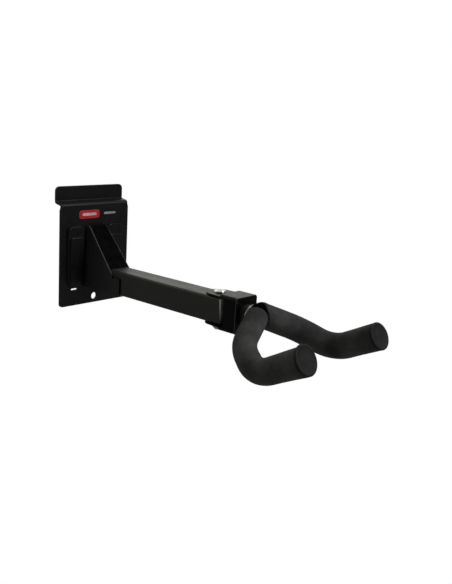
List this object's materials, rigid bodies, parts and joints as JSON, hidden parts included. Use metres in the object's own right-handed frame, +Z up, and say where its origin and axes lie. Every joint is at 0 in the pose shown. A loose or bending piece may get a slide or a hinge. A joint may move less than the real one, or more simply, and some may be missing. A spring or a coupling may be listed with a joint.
{
  "type": "wall guitar hanger",
  "caption": "Slatwall hanger: hooked plate, braced square arm, screw-pivoted head and a swivelling yoke of two foam-covered rods that cradles a headstock.",
  "frame": {"origin": "back face of the wall plate, on the axis of the square arm", "axes": "+Y into the wall, so the arm reaches out along -Y; +Z up; +X to the right as the hanger is faced"},
  "size_m": [0.1126, 0.2869, 0.11],
  "materials": {
    "plate_paint": "satin black powder coat on sheet steel",
    "brace_paint": "glossier black powder coat on folded steel",
    "tube_paint": "satin black powder coat on square steel tube",
    "head_paint": "satin black powder coat on folded steel",
    "rod_paint": "black paint on round steel bar",
    "bright_screw": "bright zinc plated screw",
    "zinc_steel": "zinc plated steel",
    "collar_steel": "dark zinc plated steel ring",
    "black_nylon": "moulded black nylon",
    "foam": "matte closed-cell foam rubber",
    "cap_rubber": "matte moulded rubber"
  },
  "bodies": {
    "root": {"back_plate": "plate_paint", "brace": "brace_paint", "arm_tube": "tube_paint", "pivot_sleeve": "zinc_steel"},
    "head": {"head_clevis": "head_paint", "pivot_screw": "bright_screw", "pivot_washer": "zinc_steel", "pivot_locknut": "zinc_steel", "upper_friction_washer": "black_nylon", "lower_friction_washer": "black_nylon", "swivel_bush": "black_nylon"},
    "yoke": {"swivel_stem": "zinc_steel", "swivel_collar": "collar_steel", "stem_washer": "zinc_steel", "stem_locknut": "zinc_steel", "yoke_hub": "rod_paint", "rod_left": "rod_paint", "rod_right": "rod_paint", "foam_left": "foam", "foam_right": "foam", "tip_cap_left": "cap_rubber", "tip_cap_right": "cap_rubber"}
  },
  "joints": [
    {"name": "head_swing", "type": "hinge", "parent": "root", "child": "head", "pos_m": [0, -0.156, 0], "axis": [0, 0, 1], "range_deg": [-90, 90]},
    {"name": "yoke_swivel", "type": "hinge", "parent": "head", "child": "yoke", "pos_m": [0, -0.1838, 0], "axis": [0, -1, 0], "continuous": true}
  ]
}
